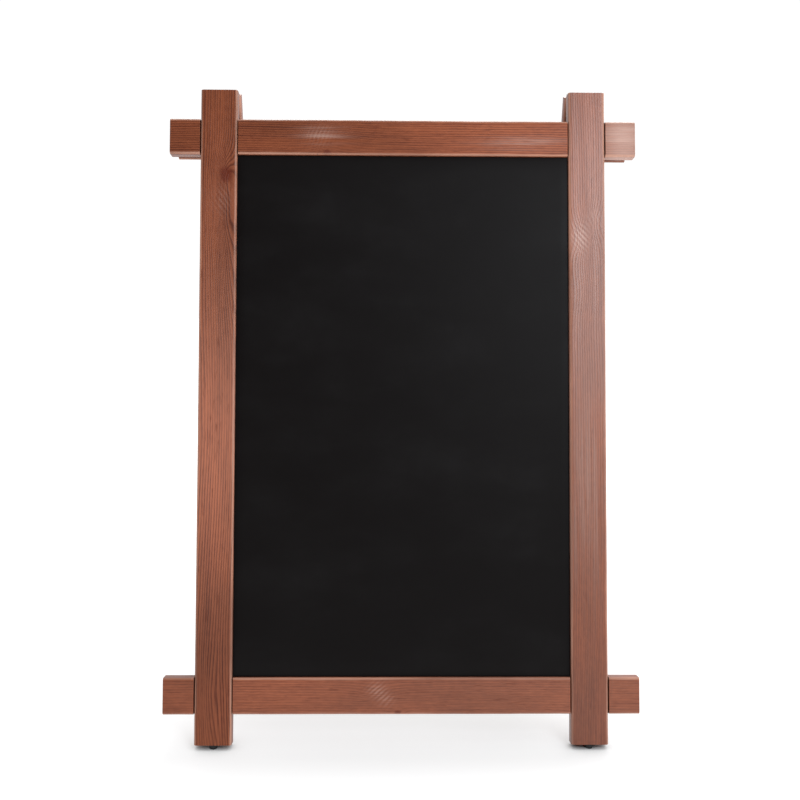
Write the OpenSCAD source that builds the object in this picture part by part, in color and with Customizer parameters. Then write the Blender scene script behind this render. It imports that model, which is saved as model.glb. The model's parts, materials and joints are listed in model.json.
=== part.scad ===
// A folding sandwich board: two timber frames, each with a chalk panel, hinged at their tops.
// X runs across the board, the front frame faces -Y, and Z = 0 is the floor.
// Each frame is drawn flat, with the hinge pin's axis along X through the origin, and is then leant.

/* [Frames] */
// Length of each stile
stile_len = 800; // [500:5:1300]
// Width of a stile
stile_w = 45; // [38:1:70]
// Width of a rail
rail_w = 44; // [38:1:70]
// Thickness of the planed battens
batten_t = 18; // [15:0.5:28]
// Width of the board over its stiles
board_w = 500; // [300:5:900]
// How far each rail runs out past the stiles
rail_out = 38; // [10:1:80]
// How far each stile runs on past the rails
horn_len = 36.5; // [34:0.5:90]
// Radius of the battens' rounded long edges
edge_r = 3; // [1:0.5:5]
// Gap on each side of a stile in the rail that crosses it
halving_gap = 1; // [0.2:0.1:2]
// Angle of each frame from upright when the board stands open
lean = 12; // [8:0.5:16]
// Gap between the two frames when folded
fold_gap = 3; // [2.6:0.1:8]

/* [Panel] */
// Thickness of the chalk panel
panel_t = 3; // [2:0.5:5]
// Depth of the panel's face behind the face of the battens
panel_recess = 5; // [4:0.5:6]
// Width of the rebate round the panel
rebate_w = 8; // [6:0.5:12]
// Gap round the panel in its rebate
panel_gap = 0.5; // [0.2:0.1:1]
// Radius of the glazing beads' free edge
bead_r = 2.5; // [1:0.5:4]
// Diameter of a bead pin
bead_pin_d = 1.4; // [1:0.1:2]
// Length of a bead pin
bead_pin_len = 18; // [14:1:24]

/* [Feet] */
// Diameter of a rubber foot against the stile
foot_d = 12; // [8:0.5:15]
// Diameter of a rubber foot at the floor
foot_tip_d = 9.7; // [6:0.1:12]
// Height of a rubber foot along its middle
foot_h = 5; // [4:0.5:12]
// Length of the nail moulded into a foot
foot_nail_len = 22; // [14:1:34]

/* [Hinges] */
// Length of a hinge along its pin
hinge_len = 40; // [30:1:60]
// How far a hinge leaf reaches down the stile
leaf_h = 26; // [24:1:40]
// Thickness of a hinge leaf
leaf_t = 1.2; // [0.8:0.1:1.2]
// Outer diameter of the hinge knuckles
knuckle_d = 5.5; // [4.5:0.1:8]
// Diameter of the hinge pin
pin_d = 2.5; // [2:0.1:3]

/* [Stays] */
// Distance of the stays' frame pivots below the hinge pins, along the stile
stay_drop = 300; // [220:5:420]
// Steel left on each side of a pivot hole in a stay link
link_wall = 2; // [1.2:0.1:2.5]
// Thickness of a stay link
link_t = 2; // [1.5:0.1:3]
// Thickness of the washer behind the front link
washer_t = 1.5; // [1.2:0.1:3]

/* [Screws] */
// Shank diameter of the wood screws
screw_d = 3; // [2.5:0.1:4]
// Head diameter of the wood screws
screw_head_d = 6; // [5:0.1:7]

/* [Hidden] */
$fn = 48;

// Colours
WOOD = [0.55, 0.34, 0.26];
BEAD_WOOD = [0.50, 0.30, 0.22];
CHALK_BLACK = [0.11, 0.10, 0.10];
RUBBER_BLACK = [0.06, 0.06, 0.06];
ZINC = [0.72, 0.71, 0.68];
BRASSED = [0.66, 0.60, 0.48];

// Clearances
run_fit = 0.05;       // radial, of a pin or a screw in its hole
side_gap = 0.2;       // beside a turning link
link_gap = 0.4;       // between the two links of a stay
knuckle_gap = 0.3;    // between two knuckles
halving_fit = 0.1;    // above and below a rail in the stile's halving
bead_end_gap = 0.2;   // at each end of a short bead
stay_play = 0.5;      // between a turning link and the panel, and between it and the inner face's plane
past = 1;             // how far a cut runs on past a face

// Depths, q, measured out from the plane midway between the folded frames
q_in = fold_gap / 2;
q_mid = q_in + batten_t / 2;
q_out = q_in + batten_t;
q_panel_face = q_out - panel_recess;
q_panel_back = q_panel_face - panel_t;
q_bead = (q_in + q_panel_back) / 2;

// Heights on a flat frame, 0 at the hinge pins
axis_rise = knuckle_d / 2 + 0.25;
leaf_start = axis_rise + 0.3;
z_top = -axis_rise;
z_bottom = z_top - stile_len;
z_rail_top = z_top - horn_len - rail_w / 2;
z_rail_bottom = z_bottom + horn_len + rail_w / 2;
z_sight_top = z_rail_top - rail_w / 2;
z_sight_bottom = z_rail_bottom + rail_w / 2;
z_sight_mid = (z_sight_top + z_sight_bottom) / 2;
sight_h = z_sight_top - z_sight_bottom;

// Places across the board
x_stile = board_w / 2 - stile_w / 2;
x_sight = board_w / 2 - stile_w;
rail_len = board_w + 2 * rail_out;

// Height of the hinge pins when the feet stand on the floor
axis_h = (foot_h - z_bottom) * cos(lean) - q_mid * sin(lean);

// Stays: they fold away behind the panels, so the room there sets their width and their pivots,
// and half the distance between their frame pivots is the length of a link
link_w = q_panel_back - q_in - 2 * stay_play;
pivot_d = link_w - 2 * link_wall;
stay_reach = stay_drop * sin(lean) + q_bead * cos(lean);
z_stay = axis_h - stay_drop * cos(lean) + q_bead * sin(lean);
s_front_link = washer_t + side_gap;
s_back_link = s_front_link + link_t + link_gap;
pivot_head_d = link_w - 1;
pivot_head_t = 1.5;
rivet_head_d = link_w - 2;
rivet_head_t = 1;
stay_thread_d = 0.7 * pivot_d;
stay_thread_len = rebate_w + 14;

// Screws and pins
joint_screw_len = batten_t - 3;
hinge_screw_len = batten_t - 4;
joint_screw_off = 10;
knuckles = 5;
knuckle_pitch = hinge_len / knuckles;
hinge_holes = [[-hinge_len / 3, leaf_h - 7], [hinge_len / 3, leaf_h - 7], [0, leaf_h / 2 - 1]];
bead_pin_head_d = bead_pin_d + 1;
foot_nail_d = 2.5;
foot_nail_head_d = 7;
foot_nail_head_t = 1;

// Stands a flat frame on its feet at its lean, in front or at the back
module front() { translate([0, 0, axis_h]) rotate([-lean, 0, 0]) children(); }
module back() { mirror([0, 1, 0]) front() children(); }

// ---- fasteners, along +Z from the face they enter at z = 0 ----

module wood_screw(len) {
    head_h = (screw_head_d - screw_d) / 2;
    difference() {
        union() {
            cylinder(h = head_h, d1 = screw_head_d, d2 = screw_d);
            cylinder(h = len - screw_d, d = screw_d);
            translate([0, 0, len - screw_d]) cylinder(h = screw_d, d1 = screw_d, d2 = 0.2 * screw_d);
        }
        for (turn = [0, 90]) rotate([0, 0, turn])
            cube([0.6 * screw_head_d, 0.15 * screw_head_d, head_h], center = true);
    }
}

module wood_screw_hole(len) {
    head_h = (screw_head_d - screw_d) / 2;
    translate([0, 0, -past]) cylinder(h = past, d = screw_head_d + 2 * run_fit);
    cylinder(h = head_h, d1 = screw_head_d + 2 * run_fit, d2 = screw_d + 2 * run_fit);
    translate([0, 0, -past]) cylinder(h = len + past + run_fit, d = screw_d + 2 * run_fit);
}

module bead_pin() {
    cylinder(h = bead_pin_d, d = bead_pin_head_d);
    cylinder(h = bead_pin_len, d = bead_pin_d);
}

module bead_pin_hole() {
    translate([0, 0, -past]) cylinder(h = past + bead_pin_d + run_fit, d = bead_pin_head_d + 2 * run_fit);
    cylinder(h = bead_pin_len + run_fit, d = bead_pin_d + 2 * run_fit);
}

// ---- places of the fasteners on a flat frame ----

// Two screws at each crossing of a stile and a rail, driven outwards from the inner face
module at_joint_screws() {
    for (side = [-1, 1], up = [-1, 1], k = [-1, 1]) {
        z_rail = up > 0 ? z_rail_top : z_rail_bottom;
        translate([side * (x_stile + k * joint_screw_off), -q_in, z_rail - up * k * joint_screw_off])
            rotate([90, 0, 0]) children();
    }
}

// Three screws through each hinge leaf, their heads flush with it
module at_hinge_screws() {
    for (side = [-1, 1], hole = hinge_holes)
        translate([side * x_stile + hole[0], leaf_t - q_in, -hole[1]]) rotate([90, 0, 0]) children();
}

// Pins through the upright beads into the stiles, and through the level beads into the rails
module at_bead_pins() {
    for (side = [-1, 1], k = [-1, 0, 1])
        translate([side * x_sight, -q_bead, z_sight_mid + k * 0.42 * sight_h + (k == 0 ? 20 : 0)])
            rotate([0, side * 90, 0]) children();
    for (up = [-1, 1], k = [-1, 0, 1])
        translate([k * 0.7 * x_sight, -q_bead, z_sight_mid + up * sight_h / 2])
            rotate([up > 0 ? 0 : 180, 0, 0]) children();
}

// The stays' frame pivots, pointing into each stile
module at_stay_pivots() {
    for (side = [-1, 1]) translate([side * x_sight, -q_bead, -stay_drop]) rotate([0, side * 90, 0]) children();
}

// The feet's middles, pointing up into each stile's lower end
module at_feet() {
    for (side = [-1, 1]) translate([side * x_stile, -q_mid, z_bottom]) children();
}

module stay_thread_hole() {
    translate([0, 0, -past]) cylinder(h = stay_thread_len + past + run_fit, d = stay_thread_d + 2 * run_fit);
}

module fastener_holes() {
    at_joint_screws() wood_screw_hole(joint_screw_len);
    at_hinge_screws() wood_screw_hole(hinge_screw_len);
    at_bead_pins() bead_pin_hole();
    at_stay_pivots() stay_thread_hole();
    at_feet() translate([0, 0, -past]) cylinder(h = foot_nail_len + past + run_fit, d = foot_nail_d + 2 * run_fit);
}

// ---- timber ----

// Cross section of a batten, its long edges rounded
module batten_section(w) {
    square([w - 2 * edge_r, batten_t], center = true);
    square([w, batten_t - 2 * edge_r], center = true);
    for (sx = [-1, 1], sy = [-1, 1])
        translate([sx * (w / 2 - edge_r), sy * (batten_t / 2 - edge_r)]) circle(r = edge_r);
}

// The rebate that all four battens share, from their inner faces out to the panel's face
module rebate() {
    translate([-x_sight - rebate_w, -q_panel_face, z_sight_bottom - rebate_w])
        cube([2 * (x_sight + rebate_w), q_panel_face - q_in + past, sight_h + 2 * rebate_w]);
}

// A stile runs through in front, so its halvings are in its inner half
module stile(side) {
    slot_h = rail_w + 2 * halving_fit;
    difference() {
        translate([side * x_stile, -q_mid, z_bottom]) linear_extrude(stile_len) batten_section(stile_w);
        for (z = [z_rail_top, z_rail_bottom])
            translate([side * x_stile - stile_w / 2 - past, -q_mid, z - slot_h / 2])
                cube([stile_w + 2 * past, batten_t / 2 + past, slot_h]);
        rebate();
        fastener_holes();
    }
}

// A rail is halved in its outer half, a little wider than the stile
module rail(z) {
    slot_w = stile_w + 2 * halving_gap;
    difference() {
        translate([-rail_len / 2, -q_mid, z]) rotate([0, 90, 0]) linear_extrude(rail_len) batten_section(rail_w);
        for (side = [-1, 1])
            translate([side * x_stile - slot_w / 2, -q_out - past, z - rail_w / 2 - past])
                cube([slot_w, batten_t / 2 + past, rail_w + 2 * past]);
        rebate();
        fastener_holes();
    }
}

module panel() {
    w = 2 * (x_sight + rebate_w - panel_gap);
    h = sight_h + 2 * (rebate_w - panel_gap);
    translate([-w / 2, -q_panel_face, z_sight_mid - h / 2]) cube([w, panel_t, h]);
}

// Cross section of a bead: x from the sight edge into the rebate, y from the panel to the inner face
module bead_section() {
    d = q_panel_back - q_in;
    difference() {
        square([rebate_w, d]);
        translate([-past, d - bead_r]) square([bead_r + past, bead_r + past]);
    }
    translate([bead_r, d - bead_r]) circle(r = bead_r);
}

module bead_upright(side) {
    h = sight_h + 2 * rebate_w;
    difference() {
        mirror([side < 0 ? 1 : 0, 0, 0]) translate([x_sight, -q_panel_back, z_sight_mid - h / 2])
            linear_extrude(h) bead_section();
        at_bead_pins() bead_pin_hole();
        at_stay_pivots() stay_thread_hole();
    }
}

module bead_level(up) {
    w = 2 * (x_sight - bead_end_gap);
    difference() {
        translate([0, 0, z_sight_mid]) mirror([0, 0, up < 0 ? 1 : 0])
            translate([w / 2, -q_panel_back, sight_h / 2]) rotate([0, -90, 0]) linear_extrude(w) bead_section();
        at_bead_pins() bead_pin_hole();
    }
}

// ---- feet ----

// The rubber tapers down from the stile and its underside lies flat on the floor
module foot_rubber(side) {
    spare = foot_tip_d * sin(lean);
    slope = (foot_d - foot_tip_d) / foot_h;
    translate([side * x_stile, -q_mid, z_bottom - foot_h - spare]) difference() {
        cylinder(h = foot_h + spare, d1 = foot_tip_d - slope * spare, d2 = foot_d);
        translate([0, 0, spare + foot_h]) foot_nail(run_fit);
    }
}

module foot_nail(grow) {
    head_z = -foot_h / 2;
    translate([0, 0, head_z - grow]) cylinder(h = foot_nail_head_t + 2 * grow, d = foot_nail_head_d + 2 * grow);
    translate([0, 0, head_z]) cylinder(h = foot_nail_len - head_z, d = foot_nail_d + 2 * grow);
}

module floor_below() {
    deep = 4 * foot_h;
    translate([-board_w, -stile_len, -deep]) cube([2 * board_w, 2 * stile_len, deep]);
}

// ---- hinges ----

// A leaf lies on its stile's inner face; first is 0 for the leaf that owns the end knuckles
module leaf(side, first) {
    difference() {
        union() {
            translate([side * x_stile - hinge_len / 2, -q_in, -leaf_h])
                cube([hinge_len, leaf_t, leaf_h - leaf_start]);
            for (k = [first : 2 : knuckles - 1])
                translate([side * x_stile - hinge_len / 2 + k * knuckle_pitch + knuckle_gap / 2, 0, 0]) {
                    rotate([0, 90, 0]) cylinder(h = knuckle_pitch - knuckle_gap, d = knuckle_d);
                    translate([0, -q_in, -leaf_start - past])
                        cube([knuckle_pitch - knuckle_gap, leaf_t, leaf_start + past]);
                }
        }
        translate([side * x_stile - hinge_len, 0, 0]) rotate([0, 90, 0])
            cylinder(h = 2 * hinge_len, d = pin_d + 2 * run_fit);
        at_hinge_screws() wood_screw_hole(hinge_screw_len);
    }
}

module hinge_pin(side) {
    head_t = 0.8;
    translate([side * x_stile - hinge_len / 2, 0, axis_h]) rotate([0, 90, 0]) {
        cylinder(h = hinge_len, d = pin_d);
        translate([0, 0, -head_t]) cylinder(h = head_t, d = pin_d + 1.6);
        translate([0, 0, hinge_len]) cylinder(h = head_t, d = pin_d + 1.6);
    }
}

// ---- stays ----

// Puts a right-hand stay piece, drawn with x = 0 on the stile's inner edge and x running inwards,
// in its place on either side
module stay(side) { translate([side * x_sight, 0, z_stay]) mirror([side > 0 ? 1 : 0, 0, 0]) children(); }

module link(s, y0) {
    difference() {
        translate([s, y0, 0]) rotate([90, 0, 90]) linear_extrude(link_t) {
            translate([0, -link_w / 2]) square([stay_reach, link_w]);
            circle(d = link_w);
            translate([stay_reach, 0]) circle(d = link_w);
        }
        for (y = [y0, y0 + stay_reach]) translate([s - past, y, 0]) rotate([0, 90, 0])
            cylinder(h = link_t + 2 * past, d = pivot_d + 2 * run_fit);
    }
}

// The middle rivet is in two halves, one in each link, with a running gap between them
module rivet_half(s_head, s_shank) {
    translate([s_head, 0, 0]) rotate([0, 90, 0]) cylinder(h = rivet_head_t, d = rivet_head_d);
    translate([s_shank, 0, 0]) rotate([0, 90, 0]) cylinder(h = link_t + link_gap / 4, d = pivot_d);
}

module ring(y, t) {
    translate([0, y, 0]) rotate([0, 90, 0]) difference() {
        cylinder(h = t, d = link_w);
        translate([0, 0, -past]) cylinder(h = t + 2 * past, d = pivot_d + 2 * run_fit);
    }
}

// A shoulder screw: the thread in the timber, the shoulder as the pivot, and the head over the link
module shoulder_screw(y, s_head) {
    translate([-stay_thread_len, y, 0]) rotate([0, 90, 0]) cylinder(h = stay_thread_len, d = stay_thread_d);
    translate([0, y, 0]) rotate([0, 90, 0]) cylinder(h = s_head, d = pivot_d);
    difference() {
        translate([s_head, y, 0]) rotate([0, 90, 0]) cylinder(h = pivot_head_t, d = pivot_head_d);
        translate([s_head + pivot_head_t, y, 0]) cube([pivot_head_t, pivot_head_d, 1], center = true);
    }
}

// ---- the nodes ----

module front_stile_left() { color(WOOD) front() stile(-1); }
module front_stile_right() { color(WOOD) front() stile(1); }
module front_rail_top() { color(WOOD) front() rail(z_rail_top); }
module front_rail_bottom() { color(WOOD) front() rail(z_rail_bottom); }
module front_panel() { color(CHALK_BLACK) front() panel(); }
module front_bead_left() { color(BEAD_WOOD) front() bead_upright(-1); }
module front_bead_right() { color(BEAD_WOOD) front() bead_upright(1); }
module front_bead_top() { color(BEAD_WOOD) front() bead_level(1); }
module front_bead_bottom() { color(BEAD_WOOD) front() bead_level(-1); }
module front_bead_pins() { color(ZINC) front() at_bead_pins() bead_pin(); }
module front_joint_screws() { color(ZINC) front() at_joint_screws() wood_screw(joint_screw_len); }
module front_foot_left() { color(RUBBER_BLACK) difference() { front() foot_rubber(-1); floor_below(); } }
module front_foot_right() { color(RUBBER_BLACK) difference() { front() foot_rubber(1); floor_below(); } }
module front_foot_nails() { color(ZINC) front() at_feet() foot_nail(0); }

module back_stile_left() { color(WOOD) back() stile(-1); }
module back_stile_right() { color(WOOD) back() stile(1); }
module back_rail_top() { color(WOOD) back() rail(z_rail_top); }
module back_rail_bottom() { color(WOOD) back() rail(z_rail_bottom); }
module back_panel() { color(CHALK_BLACK) back() panel(); }
module back_bead_left() { color(BEAD_WOOD) back() bead_upright(-1); }
module back_bead_right() { color(BEAD_WOOD) back() bead_upright(1); }
module back_bead_top() { color(BEAD_WOOD) back() bead_level(1); }
module back_bead_bottom() { color(BEAD_WOOD) back() bead_level(-1); }
module back_bead_pins() { color(ZINC) back() at_bead_pins() bead_pin(); }
module back_joint_screws() { color(ZINC) back() at_joint_screws() wood_screw(joint_screw_len); }
module back_foot_left() { color(RUBBER_BLACK) difference() { back() foot_rubber(-1); floor_below(); } }
module back_foot_right() { color(RUBBER_BLACK) difference() { back() foot_rubber(1); floor_below(); } }
module back_foot_nails() { color(ZINC) back() at_feet() foot_nail(0); }

module hinge_left_front_leaf() { color(BRASSED) front() leaf(-1, 0); }
module hinge_left_back_leaf() { color(BRASSED) back() leaf(-1, 1); }
module hinge_left_pin() { color(ZINC) hinge_pin(-1); }
module hinge_right_front_leaf() { color(BRASSED) front() leaf(1, 0); }
module hinge_right_back_leaf() { color(BRASSED) back() leaf(1, 1); }
module hinge_right_pin() { color(ZINC) hinge_pin(1); }
module hinge_screws_front() { color(ZINC) front() at_hinge_screws() wood_screw(hinge_screw_len); }
module hinge_screws_back() { color(ZINC) back() at_hinge_screws() wood_screw(hinge_screw_len); }

module stay_left_front_link() { color(ZINC) stay(-1) link(s_front_link, -stay_reach); }
module stay_left_back_link() { color(ZINC) stay(-1) link(s_back_link, 0); }
module stay_right_front_link() { color(ZINC) stay(1) link(s_front_link, -stay_reach); }
module stay_right_back_link() { color(ZINC) stay(1) link(s_back_link, 0); }
module rivet_head(side) { stay(side) rivet_half(s_front_link - rivet_head_t, s_front_link); }
module rivet_tail(side) { stay(side) rivet_half(s_back_link + link_t, s_back_link - link_gap / 4); }
module stay_left_rivet_head() { color(BRASSED) rivet_head(-1); }
module stay_left_rivet_tail() { color(BRASSED) rivet_tail(-1); }
module stay_right_rivet_head() { color(BRASSED) rivet_head(1); }
module stay_right_rivet_tail() { color(BRASSED) rivet_tail(1); }
module stay_washers() { color(ZINC) for (side = [-1, 1]) stay(side) ring(-stay_reach, washer_t); }
module stay_spacers() { color(ZINC) for (side = [-1, 1]) stay(side) ring(stay_reach, s_back_link - side_gap); }
module stay_screws_front() {
    color(ZINC) for (side = [-1, 1]) stay(side) shoulder_screw(-stay_reach, s_front_link + link_t + side_gap);
}
module stay_screws_back() {
    color(ZINC) for (side = [-1, 1]) stay(side) shoulder_screw(stay_reach, s_back_link + link_t + side_gap);
}

front_stile_left();
front_stile_right();
front_rail_top();
front_rail_bottom();
front_panel();
front_bead_left();
front_bead_right();
front_bead_top();
front_bead_bottom();
front_bead_pins();
front_joint_screws();
front_foot_left();
front_foot_right();
front_foot_nails();
back_stile_left();
back_stile_right();
back_rail_top();
back_rail_bottom();
back_panel();
back_bead_left();
back_bead_right();
back_bead_top();
back_bead_bottom();
back_bead_pins();
back_joint_screws();
back_foot_left();
back_foot_right();
back_foot_nails();
hinge_left_front_leaf();
hinge_left_back_leaf();
hinge_left_pin();
hinge_right_front_leaf();
hinge_right_back_leaf();
hinge_right_pin();
hinge_screws_front();
hinge_screws_back();
stay_left_front_link();
stay_left_back_link();
stay_right_front_link();
stay_right_back_link();
stay_left_rivet_head();
stay_left_rivet_tail();
stay_right_rivet_head();
stay_right_rivet_tail();
stay_washers();
stay_spacers();
stay_screws_front();
stay_screws_back();
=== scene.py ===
import json
import math

import bmesh
import bpy
import numpy as np
from mathutils import Euler, Matrix, Vector


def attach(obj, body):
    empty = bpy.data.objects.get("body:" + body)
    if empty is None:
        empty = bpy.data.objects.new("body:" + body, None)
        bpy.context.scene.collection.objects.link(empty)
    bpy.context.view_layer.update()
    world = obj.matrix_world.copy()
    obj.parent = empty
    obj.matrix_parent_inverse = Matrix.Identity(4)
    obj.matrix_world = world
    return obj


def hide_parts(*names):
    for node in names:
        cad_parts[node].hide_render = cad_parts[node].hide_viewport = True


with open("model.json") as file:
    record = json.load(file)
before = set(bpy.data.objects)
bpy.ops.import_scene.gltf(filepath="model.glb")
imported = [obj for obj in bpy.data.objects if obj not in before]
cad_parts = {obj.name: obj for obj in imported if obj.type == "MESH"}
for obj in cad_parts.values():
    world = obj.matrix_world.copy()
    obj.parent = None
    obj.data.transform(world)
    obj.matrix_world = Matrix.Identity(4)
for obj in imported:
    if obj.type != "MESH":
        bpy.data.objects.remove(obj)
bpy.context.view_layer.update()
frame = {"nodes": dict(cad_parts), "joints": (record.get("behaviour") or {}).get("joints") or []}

# ---------------------------------------------------------------------------------------------
# Stiles and rails: planed pine battens, 45 and 44 x 18 mm, rounded along their length and sawn
# square at their ends. They are halved across each other, rebated for the panel, glued and screwed,
# then stained mahogany and given one coat of satin varnish.
# ---------------------------------------------------------------------------------------------
# A frame is made flat: x across, q outwards from the plane midway between the folded frames, and z
# up from the hinge pins. It then leans about the pins by half the board's opening.
fold = next(j for j in frame["joints"] if j["name"] == "fold")
pins_height = fold["pos_m"][2]
lean = math.radians(fold["range_deg"][1]) / 2
ENDS = {"front": 1, "back": -1}
SIDES = {"left": -1, "right": 1}
MM = 0.001


def stood_up(flat, end):
    """Turns flat (x, q, z) points about the hinge pins: y = z sin(lean) - q cos(lean), height
    = pins + z cos(lean) + q sin(lean). The back frame is the front one mirrored in y."""
    x, q, z = np.moveaxis(np.asarray(flat, float), -1, 0)
    y = z * math.sin(lean) - q * math.cos(lean)
    height = pins_height + z * math.cos(lean) + q * math.sin(lean)
    return np.stack([x, ENDS[end] * y, height], -1)


def flat_box(node, end):
    """The lowest and highest flat (x, q, z) corners of a CAD node: the same turn the other way."""
    mesh = frame["nodes"][node].data
    co = np.empty(len(mesh.vertices) * 3, np.float32)
    mesh.vertices.foreach_get("co", co)
    x, y, height = co.reshape(-1, 3).astype(float).T
    y = ENDS[end] * y
    rise = height - pins_height
    flat = np.stack([x, rise * math.sin(lean) - y * math.cos(lean),
                     rise * math.cos(lean) + y * math.sin(lean)], -1)
    return flat.min(0), flat.max(0)


ARRIS = 3 * MM            # rounding of the long edges
SAWN_EASE = 0.4 * MM      # sandpapered edge of a sawn end or shoulder
SHOULDER_GAP = 1 * MM     # a rail's halving is this much wider than the stile, on each side
SEAT_GAP = 0.1 * MM       # and a stile's halving than the rail
STEP = 3 * MM             # length of batten between two rings of the mesh
ARC = 6                   # steps round a rounded edge
WIDE = 10                 # points across a wide face
NARROW = 3                # and across a narrow one
WELD = 0.004 * MM         # points nearer than this are one
HAIR = 0.002 * MM         # on each side of a sudden change of section
ACROSS = 0                # a rail runs along the board's x
UP = 2                    # and a stile along its z


def finished(name, verts, faces, face_grain=None, point_arris=None, sharp=32):
    """A closed mesh object with merged seams, outward faces, smooth curves and crisp edges."""
    mesh = bpy.data.meshes.new(name)
    mesh.from_pydata(np.asarray(verts).tolist(), [], faces)
    if face_grain is not None:
        mesh.attributes.new("end_grain", "FLOAT", "FACE").data.foreach_set("value", face_grain)
    if point_arris is not None:
        mesh.attributes.new("arris", "FLOAT", "POINT").data.foreach_set("value", point_arris)
    work = bmesh.new()
    work.from_mesh(mesh)
    bmesh.ops.remove_doubles(work, verts=work.verts, dist=WELD)
    bmesh.ops.dissolve_degenerate(work, edges=work.edges, dist=WELD)
    bmesh.ops.recalc_face_normals(work, faces=work.faces)
    work.to_mesh(mesh)
    work.free()
    mesh.shade_smooth()
    mesh.set_sharp_from_angle(angle=math.radians(sharp))
    piece = bpy.data.objects.new(name, mesh)
    bpy.context.scene.collection.objects.link(piece)
    return piece


def rings_to_faces(rings, around):
    """Quads between neighbouring rings of points, and one flat face on each end."""
    k = np.arange(rings - 1)[:, None] * around
    i = np.arange(around)[None, :]
    j = (i + 1) % around
    quads = np.stack([k + i, k + j, k + around + j, k + around + i], -1).reshape(-1, 4)
    first = list(range(around))[::-1]
    last = list(range((rings - 1) * around, rings * around))
    return quads.tolist() + [first, last]


def batten_points(u, half_w, q_in, q_out, u_lo, u_hi, rebate, halvings, keeps_outer, wear):
    """The batten as rings of points. A ring is a rounded rectangle, a across and q deep, and its
    corners' radius drifts a little along the batten. In the rebate the corner by the panel becomes
    an L-shaped step, and in a halving q is held to the half that stays."""
    around = ARC + 1
    turn = np.linspace(0, math.pi / 2, around)[None, :]
    slow_wear = 0.10 * np.sin(u * 37 + wear) * np.sin(u * 13.1 + 2 * wear)
    quick_wear = 0.05 * np.sin(u * 151 + wear)
    drift = 1 + slow_wear + quick_wear
    r = (ARRIS * drift)[:, None]
    ease = np.clip(SAWN_EASE - np.minimum(u - u_lo, u_hi - u), 0, SAWN_EASE)[:, None]
    hi_a = half_w - ease
    lo_q = q_in + ease
    hi_q = q_out - ease
    in_rebate = ((u > rebate["from"]) & (u < rebate["to"]))[:, None]
    step_a = half_w - rebate["wide"]
    step_q = rebate["face_q"]
    # the corner by the panel, on the inner face
    t = np.linspace(0, 1, around)[None, :]
    arc_a = hi_a - r + r * np.sin(turn)
    arc_q = lo_q + r - r * np.cos(turn)
    el_a = step_a + (hi_a - step_a) * np.clip(2 * t - 1, 0, 1)
    el_q = lo_q + (step_q - lo_q) * np.clip(2 * t, 0, 1)
    a = [np.where(in_rebate, el_a, arc_a)]
    q = [np.where(in_rebate, el_q, arc_q)]
    # the edge that faces the panel
    t = np.linspace(0, 1, NARROW + 2)[None, 1:-1]
    low = np.where(in_rebate, step_q, lo_q + r)
    a.append(hi_a + 0 * t)
    q.append(low + (hi_q - r - low) * t)
    a.append(hi_a - r + r * np.cos(turn))
    q.append(hi_q - r + r * np.sin(turn))
    # the show face, the outer edge and the inner face
    t = np.linspace(0, 1, WIDE + 2)[None, 1:-1]
    a.append((hi_a - r) * (1 - 2 * t))
    q.append(hi_q + 0 * t + 0 * r)
    a.append(-hi_a + r - r * np.sin(turn))
    q.append(hi_q - r + r * np.cos(turn))
    t = np.linspace(0, 1, NARROW + 2)[None, 1:-1]
    a.append(-hi_a + 0 * t)
    q.append((hi_q - r) * (1 - t) + (lo_q + r) * t)
    a.append(-hi_a + r - r * np.cos(turn))
    q.append(lo_q + r - r * np.sin(turn))
    t = np.linspace(0, 1, WIDE + 2)[None, 1:-1]
    stop = np.where(in_rebate, step_a, hi_a - r)
    a.append((-hi_a + r) * (1 - t) + stop * t)
    q.append(lo_q + 0 * t + 0 * r)
    a = np.concatenate(a, 1)
    q = np.concatenate(q, 1)
    # how deep each ring reaches: all of it, eased beside a shoulder, or half in the halving
    q_mid = (q_in + q_out) / 2
    depth = np.full(len(u), q_in if keeps_outer else q_out)
    eased = depth + (SAWN_EASE if keeps_outer else -SAWN_EASE)
    for start, stop in halvings:
        depth = np.where((u > start) & (u < stop), q_mid, depth)
        depth = np.where((u == start) | (u == stop), eased, depth)
    limit = depth[:, None]
    if keeps_outer:
        q = np.maximum(q, limit)
    else:
        gone = (limit < q_out - 2 * SAWN_EASE) & in_rebate
        a = np.where(gone, np.minimum(a, step_a), a)
        q = np.minimum(q, limit)
    return a, q


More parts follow.
